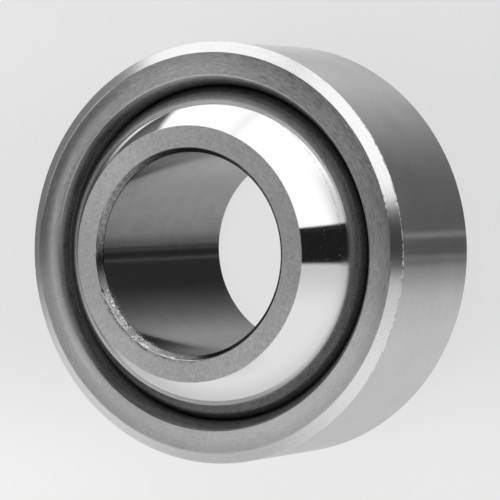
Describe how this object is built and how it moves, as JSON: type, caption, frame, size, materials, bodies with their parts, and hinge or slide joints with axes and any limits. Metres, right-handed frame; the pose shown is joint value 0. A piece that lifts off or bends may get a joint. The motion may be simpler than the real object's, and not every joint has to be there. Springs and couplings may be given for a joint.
{
  "type": "spherical plain bearing",
  "caption": "Self-aligning plain bearing: a lined steel outer ring round a polished ball that has a bore and stands proud at both ends.",
  "frame": {"origin": "centre of the sphere that the ball turns about, midway between the ball's ends and the ring's faces", "axes": "+Z along the bore; both ends are alike, and the part lies on the ball's lower end"},
  "size_m": [0.042, 0.042, 0.025],
  "materials": {
    "ring_steel": "turned and ground bearing steel, satin",
    "liner_fabric": "dark woven sliding liner bonded with resin, trimmed edge",
    "ball_steel": "hard polished sphere, ground ends and honed bore"
  },
  "bodies": {
    "outer_ring": {"outer_ring": "ring_steel", "liner": "liner_fabric"},
    "ball": {"ball": "ball_steel"}
  },
  "joints": [
    {"name": "ball_tilt", "type": "hinge", "parent": "outer_ring", "child": "ball", "pos_m": [0, 0, 0], "axis": [1, 0, 0], "range_deg": [-17, 17]}
  ]
}
